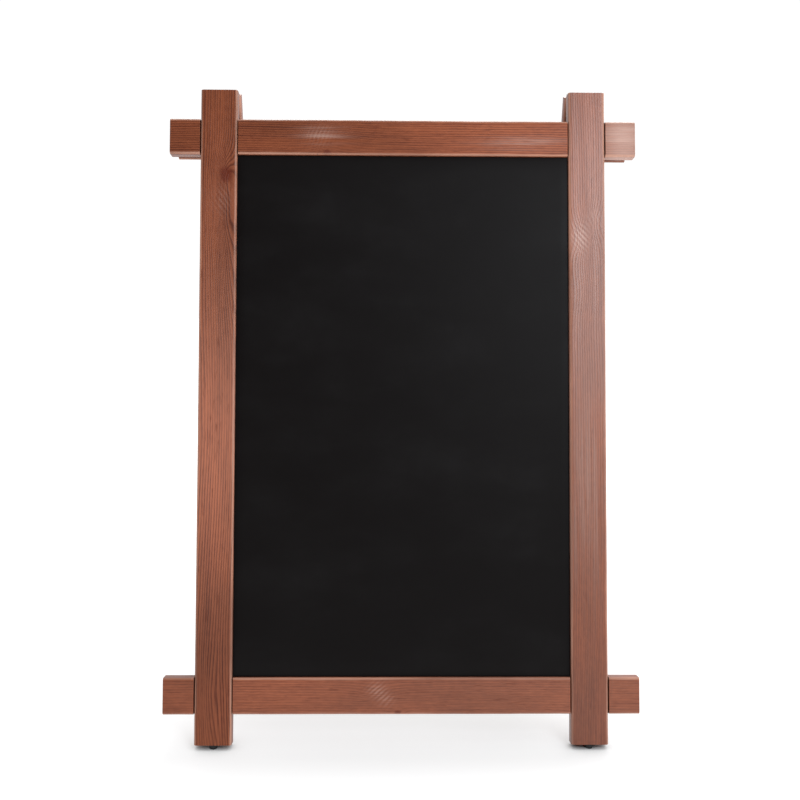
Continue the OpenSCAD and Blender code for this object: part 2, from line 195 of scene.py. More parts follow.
def batten(name, node, end, along, sight, rebate, halvings, keeps_outer, wear):
    """Sweeps the rings along the batten's own axis and stands it up in its frame."""
    lo, hi = flat_box(node, end)
    across = 2 - along
    u_lo = lo[along]
    u_hi = hi[along]
    marks = [u_lo, u_lo + SAWN_EASE, u_hi - SAWN_EASE, u_hi]
    marks += [v + d for v in (rebate["from"], rebate["to"]) for d in (-HAIR, HAIR)]
    for start, stop in halvings:
        marks += [start - SAWN_EASE, start, start + HAIR, stop - HAIR, stop, stop + SAWN_EASE]
    even = np.arange(u_lo + STEP, u_hi - STEP / 2, STEP)
    even = even[np.abs(even[:, None] - np.array(marks)).min(1) > STEP / 4]
    u = np.sort(np.concatenate([even, marks]))
    half_w = (hi[across] - lo[across]) / 2
    a, q = batten_points(u, half_w, lo[1], hi[1], u_lo, u_hi, rebate, halvings, keeps_outer, wear)
    flat = np.empty(a.shape + (3,))
    flat[..., along] = u[:, None]
    flat[..., 1] = q
    flat[..., across] = (lo[across] + hi[across]) / 2 + sight * a
    rings, around = a.shape
    faces = rings_to_faces(rings, around)
    # shoulders and sawn ends show end grain; the rounded edges are marked for a paler colour, partly
    # rubbed wear and partly painted highlight
    sharp_turn = np.repeat(np.diff(u) < 2.5 * HAIR, around)
    face_grain = np.concatenate([sharp_turn, [True, True]]).astype(np.float32)
    corner = np.zeros(around)
    first = 0
    for points in (ARC + 1, NARROW, ARC + 1, WIDE, ARC + 1, NARROW, ARC + 1, WIDE):
        if points == ARC + 1:
            corner[first:first + points] = np.sin(np.linspace(0, math.pi, points))
        first += points
    point_arris = np.tile(corner, rings).astype(np.float32)
    return finished(name, stood_up(flat.reshape(-1, 3), end), faces, face_grain, point_arris)


class Graph:
    """One material's node tree, with a short call for each kind of node that the finishes use."""

    def __init__(self, name):
        self.material = bpy.data.materials.new(name)
        self.material.use_nodes = True
        self.tree = self.material.node_tree
        self.shader = self.tree.nodes["Principled BSDF"]

    def node(self, kind, inputs=None, **settings):
        """A new node, with its settings made and its inputs given a value or a link."""
        made = self.tree.nodes.new(kind)
        for key, value in settings.items():
            setattr(made, key, value)
        for key, value in (inputs or {}).items():
            self.put(value, made.inputs[key])
        return made

    def put(self, value, socket):
        """Links value to the socket if it is an output, or else sets it there."""
        if isinstance(value, bpy.types.NodeSocket):
            self.tree.links.new(value, socket)
        else:
            socket.default_value = value

    def math(self, operation, *values, clamp=False):
        """One sum, product or function of the values."""
        made = self.node("ShaderNodeMath", operation=operation, use_clamp=clamp)
        for value, socket in zip(values, made.inputs):
            self.put(value, socket)
        return made.outputs[0]

    def noise(self, where, scale, stretch=(1, 1, 1), detail=2.0, rough=0.5):
        """Cloudy noise, scale cells a metre, stretched along each axis. Outputs value, colour."""
        spread = self.node("ShaderNodeMapping", {"Vector": where, "Scale": stretch})
        made = self.node("ShaderNodeTexNoise", {"Vector": spread.outputs[0], "Scale": scale,
                                                "Detail": detail, "Roughness": rough})
        return made.outputs["Fac"], made.outputs["Color"]

    def step(self, value, low, high, to_low=0.0, to_high=1.0):
        """A smooth step from low to high."""
        made = self.node("ShaderNodeMapRange", {0: value, 1: low, 2: high, 3: to_low, 4: to_high},
                         interpolation_type="SMOOTHSTEP")
        return made.outputs[0]

    def blend(self, share, one, other, how="MIX"):
        """The colour one, with that share of other."""
        made = self.node("ShaderNodeMix", data_type="RGBA", blend_type=how)
        self.put(share, made.inputs["Factor"])
        self.put(one, made.inputs["A"])
        self.put(other, made.inputs["B"])
        return made.outputs["Result"]

    def attribute(self, name):
        """The value that the mesh carries under that name."""
        return self.node("ShaderNodeAttribute", attribute_name=name).outputs["Fac"]

    def bump(self, height, depth, strength=1.0):
        """Relief of that depth, in metres, from a height of 0 to 1."""
        made = self.node("ShaderNodeBump", {"Height": height, "Distance": depth, "Strength": strength})
        self.tree.links.new(made.outputs[0], self.shader.inputs["Normal"])

    def surface(self, **sockets):
        """Sets or links the shader's sockets, with _ for a space."""
        for key, value in sockets.items():
            self.put(value, self.shader.inputs[key.replace("_", " ")])


# How the stain shows on each kind of wood
EARLY_WOOD = (0.310, 0.086, 0.036, 1)
LATE_WOOD = (0.090, 0.0150, 0.0058, 1)
KNOT_WOOD = (0.120, 0.0190, 0.0075, 1)
END_WOOD = (0.080, 0.022, 0.012, 1)
# the rubbed colour is partly wear and partly a painted highlight along the edges
RUBBED_AND_HIGHLIT_WOOD = (0.700, 0.400, 0.290, 1)
# painted sheen: the colour that stands in for light caught by the varnish and curly grain
PAINTED_SHEEN_WOOD = (0.620, 0.400, 0.330, 1)
# EVEN marks a painted sheen that lies all over, without ripples
EVEN = "even"             # a sheen that lies all over, without ripples
CURL_PITCH = 4.6 * MM     # from one ripple of curly grain to the next
WHOLE_WIDTH = 9           # far wider than a batten, for a change along its length only


def hump(g, x, z, at_x, at_z, wide, long):
    """A smooth hill exp(-((x - at_x) / wide)^2 - ((z - at_z) / long)^2)."""
    ox = g.math("DIVIDE", g.math("SUBTRACT", x, at_x), wide)
    oz = g.math("DIVIDE", g.math("SUBTRACT", z, at_z), long)
    away = g.math("ADD", g.math("POWER", ox, 2), g.math("POWER", oz, 2))
    return g.math("EXPONENT", g.math("MULTIPLY", away, -1))


def turn_y(along):
    """A rail's own axis lies across the board, so its grain is turned a quarter round."""
    return math.radians(90) if along == ACROSS else 0.0


def stained_pine(name, end, along, centre, heart, pitch, wander, knots=(), swells=(), painted_shines=(),
                 stain_and_lit_length=(0, 1, 0, 0), figure=1.0, varnish=0.7, tone=1.0, seed=0.0):
    """Growth rings are shells round the tree's heart, which runs beside the batten: their radius
    is the distance from it, plus a slow wander, swells, and a mound at each knot, so the lines
    flow round the knot. Stain darkens the late wood, the knots and the sawn ends."""
    g = Graph(name)
    # object coordinates turned into the batten's own: x across, y into its face, z along it
    turn = Euler((lean, turn_y(along), 0), "XYZ").to_matrix()
    mirror = Matrix.Diagonal((1, ENDS[end], 1))
    away = -(turn @ (mirror @ Vector(stood_up(centre, end))))
    own = g.node("ShaderNodeMapping", {"Vector": g.node("ShaderNodeTexCoord").outputs["Object"],
                                       "Location": away, "Rotation": (lean, turn_y(along), 0),
                                       "Scale": (1, ENDS[end], 1)}).outputs[0]
    shifted = g.node("ShaderNodeMapping", {"Vector": own, "Location": (seed, 1.7 * seed, 2.3 * seed)})
    place = shifted.outputs[0]
    x, y, z = g.node("ShaderNodeSeparateXYZ", {0: own}).outputs[:3]
    # slow wander of the heart, then a finer ripple
    _, slow_colour = g.noise(place, 5, (1, 1, 0.35), 1.5)
    wx, wy, _ = g.node("ShaderNodeSeparateColor", {0: slow_colour}).outputs[:3]
    drift_x = g.math("MULTIPLY", g.math("SUBTRACT", wx, 0.5), wander)
    drift_y = g.math("MULTIPLY", g.math("SUBTRACT", wy, 0.5), wander)
    dx = g.math("ADD", g.math("SUBTRACT", x, heart[0]), drift_x)
    dy = g.math("ADD", g.math("SUBTRACT", y, heart[1]), drift_y)
    radius = g.math("SQRT", g.math("ADD", g.math("POWER", dx, 2), g.math("POWER", dy, 2)))
    ripple, _ = g.noise(place, 60, (1, 1, 0.14), 2)
    radius = g.math("ADD", radius, g.math("MULTIPLY", ripple, 1.3 * pitch))
    mounds = list(swells) + [(kx, kz, 1.7 * size, 3.4 * size, 1.5 * size) for kx, kz, size in knots]
    for at_x, at_z, wide, long, lift in mounds:
        mound = hump(g, x, z, at_x, at_z, wide, long)
        radius = g.math("ADD", radius, g.math("MULTIPLY", mound, lift))
    # a knot is a dark disc with rings of its own
    core = 0.0
    core_line = 0.0
    for kx, kz, size in knots:
        ox = g.math("DIVIDE", g.math("SUBTRACT", x, kx), size)
        oz = g.math("DIVIDE", g.math("SUBTRACT", z, kz), 1.35 * size)
        off = g.math("SQRT", g.math("ADD", g.math("POWER", ox, 2), g.math("POWER", oz, 2)))
        off = g.math("ADD", off, g.math("MULTIPLY", g.math("SUBTRACT", ripple, 0.5), 0.9))
        disc = g.step(off, 0.45, 1.35, 1.0, 0.0)
        core = g.math("MAXIMUM", core, disc)
        knot_ring = g.math("FRACT", g.math("MULTIPLY", off, 3.1))
        core_line = g.math("MAXIMUM", core_line, g.math("MULTIPLY", disc, knot_ring))
    # rings: the colour deepens slowly through the summer and drops back at once in winter
    year = g.math("FRACT", g.math("DIVIDE", radius, pitch))
    late = g.math("MULTIPLY", g.step(year, 0.25, 0.80), g.step(year, 0.86, 1.0, 1.0, 0.0))
    uneven, _ = g.noise(place, 26, (1, 1, 0.12), 2)
    late = g.math("MULTIPLY", late, g.step(uneven, 0.25, 0.62, 0.35, 1.0))
    fibre, _ = g.noise(place, 520, (1, 1, 0.045), 3, 0.65)
    streak, _ = g.noise(place, 190, (1, 1, 0.022), 3, 0.6)
    cloud, _ = g.noise(place, 14, (1, 1, 0.30), 3, 0.55)
    fleck, _ = g.noise(place, 640, (1, 1, 0.08), 1)
    mottle, _ = g.noise(place, 300, (1, 1, 0.45), 2)
    depth = g.math("MULTIPLY_ADD", g.math("SUBTRACT", late, 0.4), 0.60 * figure, 0.36)
    depth = g.math("ADD", depth, g.math("MULTIPLY", g.math("SUBTRACT", streak, 0.5), 0.80 * figure))
    depth = g.math("ADD", depth, g.math("MULTIPLY", g.math("SUBTRACT", mottle, 0.5), 0.45))
    depth = g.math("ADD", depth, g.math("MULTIPLY", g.math("SUBTRACT", fibre, 0.5), 0.95), clamp=True)
    colour = g.blend(depth, EARLY_WOOD, LATE_WOOD)
    # the stain took unevenly in slow clouds; a lighter length of the stick is partly stain and partly
    # painted light, with a milky painted sheen over it
    middle, reach, more, painted_sheen_amount = stain_and_lit_length
    patch = g.step(cloud, 0.30, 0.72, 0.80 * tone, 1.14 * tone)
    length = hump(g, x, z, 0, middle, WHOLE_WIDTH, reach)
    patch = g.math("MULTIPLY", patch, g.math("ADD", 1.0, g.math("MULTIPLY", length, more)))
    shade = g.node("ShaderNodeCombineColor", {0: patch, 1: patch, 2: patch}).outputs[0]
    colour = g.blend(1.0, colour, shade, "MULTIPLY")
    painted_haze = g.math("MULTIPLY", length, painted_sheen_amount)
    colour = g.blend(painted_haze, colour, PAINTED_SHEEN_WOOD)
    # resin canals: short thin dark dashes in the grain
    colour = g.blend(g.step(fleck, 0.62, 0.74, 0.0, 0.40), colour, LATE_WOOD)
    colour = g.blend(g.math("MULTIPLY", core, 0.80), colour, KNOT_WOOD)
    colour = g.blend(g.math("MULTIPLY", core_line, 0.40), colour, LATE_WOOD)
    # painted sheen: where curly grain and varnish would catch the light, the colour is painted paler, in
    # fine slanting ripples, along the fibres, or all over
    for at_x, at_z, wide, long, slant, strength in painted_shines:
        if slant is None:                    # the sheen follows the fibres
            wave = g.step(g.math("ADD", fibre, streak), 0.75, 1.20)
        elif slant == EVEN:                  # or lies all over
            wave = 1.0
        else:
            slope = g.math("ADD", g.math("MULTIPLY", x, math.cos(slant) / CURL_PITCH),
                           g.math("MULTIPLY", z, math.sin(slant) / CURL_PITCH))
            slope = g.math("ADD", slope, g.math("MULTIPLY", cloud, 5.0))
            wave = g.math("POWER", g.math("SINE", g.math("MULTIPLY", slope, math.pi)), 2)
        painted_glow = g.math("MULTIPLY", hump(g, x, z, at_x, at_z, wide, long), wave)
        if slant != EVEN:
            painted_glow = g.math("MULTIPLY", painted_glow, g.step(streak, 0.35, 0.65, 0.4, 1.0))
        colour = g.blend(g.math("MULTIPLY", painted_glow, strength), colour, PAINTED_SHEEN_WOOD)
    # rubbed edges are paler, partly wear and partly a painted highlight, and sawn ends drink more stain
    rubbed_and_highlit = g.math("MULTIPLY", g.attribute("arris"), g.step(cloud, 0.35, 0.60, 0.22, 0.50))
    colour = g.blend(rubbed_and_highlit, colour, RUBBED_AND_HIGHLIT_WOOD)
    colour = g.blend(g.math("MULTIPLY", g.attribute("end_grain"), 0.6), colour, END_WOOD)
    gloss = g.math("ADD", g.step(streak, 0.2, 0.8, 0.36, 0.48), g.math("MULTIPLY", late, -0.05))
    g.surface(Base_Color=colour, Roughness=gloss)
    g.surface(Specular_IOR_Level=0.40 * varnish)
    g.surface(Coat_Weight=0.15 * varnish, Coat_Roughness=0.30, Coat_IOR=1.5)
    fuzz = g.math("ADD", g.math("MULTIPLY", fibre, 0.6), g.math("MULTIPLY", streak, 0.6))
    height = g.math("ADD", g.math("MULTIPLY", late, 0.7), fuzz)
    g.bump(height, 0.25 * MM, 0.8)
    return g.material


# Each stick is its own piece of wood: where the heart lay, ring spacing, knots, curls and tone.
# Knots are (across, along, radius); swells (across, along, wide, long, lift) bend the grain;
# the sheens (across, along, wide, long, slant, strength) are patches of painted sheen: curly
# with a slant, along the fibres with None, or EVEN. All from its middle.
# the lighter length (along, reach, how much lighter, painted sheen) is partly uneven stain and partly
# painted light
TIMBER = {
    "front_stile_left": dict(
        heart=(-0.070, 0.030), pitch=2.6 * MM, wander=0.030, tone=0.74, seed=1.3,
        stain_and_lit_length=(-0.02, 0.20, 0.66, 0.15), figure=1.25, varnish=0.55,
        knots=((0.0095, 0.294, 7.5 * MM),),
        swells=((0.010, 0.250, 0.015, 0.045, 0.013), (0.014, 0.180, 0.012, 0.060, 0.006),
                (-0.004, -0.345, 0.012, 0.060, 0.005)),
        painted_shines=((0.004, 0.262, 0.012, 0.018, 0.5, 0.14),)),
    "front_stile_right": dict(
        heart=(0.085, 0.030), pitch=2.8 * MM, wander=0.022, tone=0.81, seed=4.1,
        stain_and_lit_length=(0.10, 0.31, 0.32, 0.12), figure=0.50, varnish=1.2,
        swells=((-0.011, 0.218, 0.012, 0.024, 0.008), (0.012, 0.235, 0.010, 0.022, -0.006),
                (-0.006, 0.150, 0.016, 0.030, 0.004)),
        painted_shines=((-0.010, 0.218, 0.009, 0.017, 0.65, 0.85), (0.010, 0.243, 0.008, 0.012, 0.4, 0.30),
                (0.0, -0.090, 0.060, 0.120, None, 0.20))),
    "front_rail_top": dict(
        heart=(0.080, 0.035), pitch=2.6 * MM, wander=0.018, tone=0.72, seed=7.7, figure=0.9,
        varnish=0.5, stain_and_lit_length=(-0.11, 0.17, 0.55, 0.0),
        knots=((-0.019, 0.094, 3.5 * MM),), swells=((-0.002, 0.085, 0.012, 0.030, 0.006),),
        painted_shines=((0.002, 0.100, 0.012, 0.028, None, 0.34), (0.002, 0.104, 0.012, 0.016, 1.2, 0.16),
                (0.0, -0.274, 0.050, 0.027, None, 0.50),
                (0.0, -0.274, 0.050, 0.027, EVEN, 0.55), (-0.006, -0.150, 0.008, 0.050, None, 0.40))),
    "front_rail_bottom": dict(
        heart=(-0.090, 0.030), pitch=2.8 * MM, wander=0.020, tone=1.04, seed=2.9,
        stain_and_lit_length=(-0.2, 0.5, 0.0, 0.07), figure=0.45, varnish=0.55,
        knots=((-0.020, 0.005, 3 * MM),), swells=((0.004, 0.030, 0.012, 0.025, 0.005),),
        painted_shines=((0.008, 0.030, 0.008, 0.010, 0.75, 0.42), (-0.004, 0.020, 0.007, 0.009, 0.75, 0.28))),
    "back_stile_left": dict(
        heart=(0.075, 0.035), pitch=2.8 * MM, wander=0.030, tone=0.95, seed=9.2,
        knots=((-0.008, -0.120, 6 * MM),), swells=((0.004, 0.200, 0.012, 0.070, 0.010),)),
    "back_stile_right": dict(
        heart=(-0.065, 0.030), pitch=2.6 * MM, wander=0.030, tone=0.90, seed=5.6,
        stain_and_lit_length=(-0.1, 0.2, 0.4, 0.05),
        knots=((0.010, 0.080, 8 * MM), (-0.012, -0.330, 5 * MM))),
    "back_rail_top": dict(
        heart=(0.080, 0.035), pitch=2.7 * MM, wander=0.022, tone=0.92, seed=3.4,
        painted_shines=((0.004, 0.060, 0.009, 0.030, None, 0.35),)),
    "back_rail_bottom": dict(
        heart=(-0.075, 0.035), pitch=2.8 * MM, wander=0.024, tone=0.88, seed=8.8,
        knots=((0.006, -0.110, 6 * MM),)),
}

for end in ENDS:
    _, panel_hi = flat_box(f"{end}_panel", end)
    bead_lo, bead_hi = flat_box(f"{end}_bead_right", end)
    rebate_edge = bead_hi[0]
    rebate_wide = rebate_edge - bead_lo[0]
    for side in SIDES:
        node = f"{end}_stile_{side}"
        rails = [flat_box(f"{end}_rail_{level}", end) for level in ("bottom", "top")]
        rebate = {"from": bead_lo[2], "to": bead_hi[2], "wide": rebate_wide, "face_q": panel_hi[1]}
        slots = [(lo[2] - SEAT_GAP, hi[2] + SEAT_GAP) for lo, hi in rails]
        wear = len(node) + SIDES[side]
        piece = batten(f"{node}_timber", node, end, UP, -SIDES[side], rebate, slots, True, wear)
        lo, hi = flat_box(node, end)
        pine = stained_pine(f"{node}_pine", end, UP, (lo + hi) / 2, **TIMBER[node])
        piece.data.materials.append(pine)
        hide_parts(node)
        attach(piece, f"{end}_frame")
    for level, toward_sight in (("top", -1), ("bottom", 1)):
        node = f"{end}_rail_{level}"
        stiles = [flat_box(f"{end}_stile_{side}", end) for side in SIDES]
        rebate = {"from": -rebate_edge, "to": rebate_edge, "wide": rebate_wide, "face_q": panel_hi[1]}
        slots = [(lo[0] - SHOULDER_GAP, hi[0] + SHOULDER_GAP) for lo, hi in stiles]
        piece = batten(f"{node}_timber", node, end, ACROSS, toward_sight, rebate, slots, False, len(node))
        lo, hi = flat_box(node, end)
        pine = stained_pine(f"{node}_pine", end, ACROSS, (lo + hi) / 2, **TIMBER[node])
        piece.data.materials.append(pine)
        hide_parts(node)
        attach(piece, f"{end}_frame")

# ---------------------------------------------------------------------------------------------
# Chalk panels: 3 mm hardboard, rolled with matt blackboard paint on the show face. The inner face
# keeps the board's pressed screen pattern under the paint. They drop into the rebates from behind.
# ---------------------------------------------------------------------------------------------
BLACKBOARD = (0.0042, 0.0031, 0.0031, 1)
CHALK_DUST = (0.10, 0.10, 0.105, 1)
SCREEN_MESH = 1.6 * MM    # of the pressed pattern
PANEL_EASE = 0.3 * MM     # rounding of the panel's cut edges
PANEL_GRID = 24           # points each way


def chalk_paint(name, end):
    """Blackboard paint: an orange-peel of fine roller stipple and the faint grey of wiped chalk."""
    g = Graph(name)
    own = g.node("ShaderNodeMapping", {"Vector": g.node("ShaderNodeTexCoord").outputs["Object"],
                                       "Rotation": (lean, 0, 0), "Scale": (1, ENDS[end], 1)}).outputs[0]
    stipple, _ = g.noise(own, 1300, (1, 1, 1), 2, 0.6)
    wiped, _ = g.noise(own, 5, (1, 1, 2.2), 4, 0.6)
    swirl, _ = g.noise(own, 28, (1, 1, 0.6), 3, 0.55)
    dust = g.math("MULTIPLY", g.step(wiped, 0.42, 0.75), g.step(swirl, 0.35, 0.70, 0.4, 1.0))
    colour = g.blend(g.math("MULTIPLY", dust, 0.030), BLACKBOARD, CHALK_DUST)
    gloss = g.math("ADD", g.step(wiped, 0.3, 0.8, 0.40, 0.50), g.math("MULTIPLY", stipple, 0.06))
    g.surface(Base_Color=colour, Roughness=gloss)
    g.surface(Specular_IOR_Level=0.10)
    # the screen pressed into the back of the board
    x, _, z = g.node("ShaderNodeSeparateXYZ", {0: own}).outputs[:3]
    threads = []
    for v in (x, z):
        wave = g.math("SINE", g.math("MULTIPLY", v, math.pi / SCREEN_MESH))
        threads.append(g.math("ABSOLUTE", wave))
    screen = g.math("MULTIPLY", g.math("MINIMUM", *threads), g.attribute("screen"))
    g.bump(g.math("ADD", g.math("MULTIPLY", stipple, 0.35), screen), 0.10 * MM, 0.6)
    return g.material


def slab(name, node, end, cut, steps):
    """Two grids of points, one for each face, joined round the rim by rings that ease it by cut."""
    lo, hi = flat_box(node, end)
    mid = (lo + hi) / 2
    half = (hi - lo) / 2
    ring = [(cut, 0.0), (0.3 * cut, 0.3 * cut), (0.0, cut)]
    across = np.linspace(-1, 1, steps)
    sheets = []
    for inset, back in ring:
        gx, gz = np.meshgrid(across * (half[0] - inset), across * (half[2] - inset))
        sheets.append(np.stack([gx, np.full_like(gx, half[1] - back), gz], -1))
    rim = [(0, i) for i in range(steps)] + [(i, steps - 1) for i in range(1, steps)]
    rim += [(steps - 1, i) for i in range(steps - 2, -1, -1)] + [(i, 0) for i in range(steps - 2, 0, -1)]
    rim = np.array(rim)
    loops = [s[rim[:, 0], rim[:, 1]] for s in sheets]
    flip = np.array([1, -1, 1])
    loops = loops + [l * flip for l in loops[::-1]]
    faces = []
    verts = []
    n = len(rim)
    for s in (sheets[0], sheets[0] * flip):
        base = sum(len(v) for v in verts)
        verts.append(s.reshape(-1, 3))
        i = (np.arange(steps - 1)[:, None] * steps + np.arange(steps - 1)[None, :]).reshape(-1) + base
        faces += np.stack([i, i + 1, i + steps + 1, i + steps], -1).tolist()
    base = sum(len(v) for v in verts)
    verts += loops
    k = (np.arange(len(loops) - 1)[:, None] * n + np.arange(n)[None, :]) + base
    j = (np.arange(len(loops) - 1)[:, None] * n + (np.arange(n)[None, :] + 1) % n) + base
    faces += np.stack([k, j, j + n, k + n], -1).reshape(-1, 4).tolist()
    flat = np.concatenate(verts) + mid
    return finished(name, stood_up(flat, end), faces)


for end in ENDS:
    piece = slab(f"{end}_panel_board", f"{end}_panel", end, PANEL_EASE, PANEL_GRID)
    normals = np.empty(len(piece.data.polygons) * 3, np.float32)
    piece.data.polygons.foreach_get("normal", normals)
    inward = (normals.reshape(-1, 3)[:, 1] * ENDS[end] > 0.5).astype(np.float32)
    piece.data.attributes.new("screen", "FLOAT", "FACE").data.foreach_set("value", inward)
    piece.data.materials.append(chalk_paint(f"{end}_chalk_paint", end))
    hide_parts(f"{end}_panel")
    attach(piece, f"{end}_frame")

# ---------------------------------------------------------------------------------------------
# Glazing beads: 8 x 10 mm pine strips with one rounded edge, cut to length, stained with the
# frame and pinned into the rebate behind the panel.
# ---------------------------------------------------------------------------------------------
for end in ENDS:
    for where, along in (("left", UP), ("right", UP), ("top", ACROSS), ("bottom", ACROSS)):
        node = f"{end}_bead_{where}"
        lo, hi = flat_box(node, end)
        wood = stained_pine(f"{node}_pine", end, along, (lo + hi) / 2, heart=(0.05, 0.07), pitch=2.4 * MM,
                            wander=0.02, tone=0.9, seed=11 + len(where) + 5 * ENDS[end])
        frame["nodes"][node].data.materials.clear()
        frame["nodes"][node].data.materials.append(wood)

# ---------------------------------------------------------------------------------------------
# Bead pins, joint screws, foot nails and hinge screws: bright zinc-plated steel, bought in. Each
# halved joint has two screws driven outwards from the inner face, and each hinge leaf has three.
# ---------------------------------------------------------------------------------------------
BRIGHT_ZINC = (0.62, 0.62, 0.60)


def zinc_plate(name, tint=BRIGHT_ZINC, rough=0.34):
    """Bright zinc: a metal with faint milky spangle and fine handling scratches."""
    g = Graph(name)
    where = g.node("ShaderNodeTexCoord").outputs["Object"]
    milk, _ = g.noise(where, 320, (1, 1, 1), 3, 0.6)
    rub, _ = g.noise(where, 1500, (1, 0.15, 1), 2, 0.6)
    dull = tuple(0.62 * c for c in tint) + (1,)
    colour = g.blend(g.step(milk, 0.35, 0.70, 0.0, 0.6), tint + (1,), dull)
    gloss = g.step(milk, 0.3, 0.75, rough - 0.08, rough + 0.12)
    gloss = g.math("ADD", gloss, g.math("MULTIPLY", rub, 0.08))
    g.surface(Base_Color=colour, Roughness=gloss)
    g.surface(Metallic=1.0)
    g.bump(g.math("ADD", milk, rub), 0.02 * MM, 0.4)
    return g.material


screw_zinc = zinc_plate("screw_zinc")
for node in [f"{end}_{kind}" for end in ENDS for kind in ("bead_pins", "joint_screws", "foot_nails")] + [
        "hinge_screws_front", "hinge_screws_back"]:
    frame["nodes"][node].data.materials.clear()
    frame["nodes"][node].data.materials.append(screw_zinc)

# ---------------------------------------------------------------------------------------------
# Rubber feet: black moulded buffers, 12 mm across, tapering to the floor. Each is held to the end
# of its stile by a nail moulded into it.
# ---------------------------------------------------------------------------------------------


def turned(profile, origin, axis, around=48):
    """A turned shape: the profile's (distance along the axis, radius) points swept once round it."""
    axis = np.asarray(axis, float) / np.linalg.norm(axis)
    side = np.cross(axis, (0.0, 0.0, 1.0) if abs(axis[2]) < 0.9 else (1.0, 0.0, 0.0))
    side /= np.linalg.norm(side)
    other = np.cross(axis, side)
    along, radius = np.asarray(profile, float).T
    angle = np.linspace(0, 2 * math.pi, around, endpoint=False)
    ring = np.cos(angle)[:, None] * side + np.sin(angle)[:, None] * other
    verts = np.asarray(origin) + along[:, None, None] * axis + radius[:, None, None] * ring[None]
    return verts.reshape(-1, 3), rings_to_faces(len(along), around)


RUBBER_BLACK = (0.012, 0.012, 0.013, 1)
DUSTY_BLACK = (0.035, 0.034, 0.033, 1)


def rubber(name):
    """Black rubber with a dusty bloom and a fine moulded grain."""
    g = Graph(name)
    where = g.node("ShaderNodeTexCoord").outputs["Object"]
    bloom, _ = g.noise(where, 260, (1, 1, 1), 3, 0.6)
    grain, _ = g.noise(where, 2600, (1, 1, 1), 2, 0.6)
    colour = g.blend(g.step(bloom, 0.4, 0.8, 0.0, 0.5), RUBBER_BLACK, DUSTY_BLACK)
    g.surface(Base_Color=colour, Roughness=g.step(bloom, 0.3, 0.8, 0.52, 0.72))
    g.surface(Specular_IOR_Level=0.4)
    g.bump(grain, 0.05 * MM, 0.5)
    return g.material


foot_rubber = rubber("foot_rubber")
FOOT_TOP_R = 6.0 * MM
FOOT_TIP_R = 4.85 * MM
FOOT_LIP = 0.5 * MM       # the straight rim at the top
FOOT_EASE = 0.2 * MM      # and the rounding of its edge
FOOT_STEP = 0.15 * MM     # the taper begins this far inside the rim
TAPER_STEPS = 14
for end in ENDS:
    for side in SIDES:
        node = f"{end}_foot_{side}"
        stile_lo, stile_hi = flat_box(f"{end}_stile_{side}", end)
        middle = (stile_lo + stile_hi) / 2
        seat = stood_up([middle[0], middle[1], stile_lo[2]], end)
        down = stood_up([0, 0, -1], end) - stood_up([0, 0, 0], end)
        foot_h = seat[2] / math.cos(lean)
        reach = foot_h + FOOT_TIP_R * math.tan(lean)
        slope = (FOOT_TOP_R - FOOT_TIP_R) / foot_h
        profile = [(0, 0.55 * FOOT_TOP_R), (0, FOOT_TOP_R - FOOT_EASE)]
        profile += [(FOOT_EASE, FOOT_TOP_R), (FOOT_LIP, FOOT_TOP_R)]
        for t in np.linspace(0.15, 1, TAPER_STEPS):
            profile.append((t * reach, FOOT_TOP_R - FOOT_STEP - slope * t * reach))
        profile += [(reach, 0.6 * FOOT_TIP_R), (reach, 0.2 * FOOT_TIP_R)]
        verts, faces = turned(profile, seat, down)
        verts[:, 2] = np.maximum(verts[:, 2], 0.0)
        piece = finished(f"{node}_buffer", verts, faces, sharp=50)
        piece.data.materials.append(foot_rubber)
        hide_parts(node)
        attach(piece, f"{end}_frame")

# ---------------------------------------------------------------------------------------------
# Hinges: two 40 mm butt hinges rolled from 1.2 mm steel and yellow-passivated, with riveted pins.
# They sit between the frames, with a leaf screwed to the upper end of each stile.
# ---------------------------------------------------------------------------------------------
YELLOW_ZINC = (0.66, 0.58, 0.42)
hinge_plate = zinc_plate("hinge_plate", YELLOW_ZINC, 0.36)
for side in SIDES:
    for part in ("front_leaf", "back_leaf", "pin"):
        node = frame["nodes"][f"hinge_{side}_{part}"]
        node.data.materials.clear()
        node.data.materials.append(hinge_plate if part != "pin" else screw_zinc)

# ---------------------------------------------------------------------------------------------
# Folding stays: pairs of 9 x 2 mm zinc-plated links, riveted at the middle and held to the
# stiles by shoulder screws. They stop the frames spreading and fold upwards between the panels.
# ---------------------------------------------------------------------------------------------
DULL_ZINC = (0.58, 0.58, 0.57)
stay_zinc = zinc_plate("stay_zinc", DULL_ZINC, 0.30)
for node in frame["nodes"]:
    if node.startswith("stay_"):
        frame["nodes"][node].data.materials.clear()
        frame["nodes"][node].data.materials.append(stay_zinc)

# ---------------------------------------------------------------------------------------------
# The studio: a white sweep under the board, a soft key high in front on the right, and a bigger
# softbox overhead and behind. The sweep glows with painted light, dimmer near the board, and
# carries painted shade: a contact shadow under the feet and stile ends, and soft pools in front.
# ---------------------------------------------------------------------------------------------
scene = bpy.context.scene
scene.view_settings.view_transform = "Standard"

floor_mesh = bpy.data.meshes.new("studio_floor")
FLOOR_HALF = 6.0
floor_corners = [(FLOOR_HALF * x, FLOOR_HALF * y, 0) for x, y in ((-1, -1), (1, -1), (1, 1), (-1, 1))]
floor_mesh.from_pydata(floor_corners, [], [(0, 1, 2, 3)])
floor = bpy.data.objects.new("studio_floor", floor_mesh)
scene.collection.objects.link(floor)
paper = Graph("studio_paper")
tooth, _ = paper.noise(paper.node("ShaderNodeTexCoord").outputs["Object"], 400)
paper.surface(Base_Color=(0.40, 0.40, 0.40, 1), Roughness=paper.step(tooth, 0.3, 0.7, 0.85, 0.95))
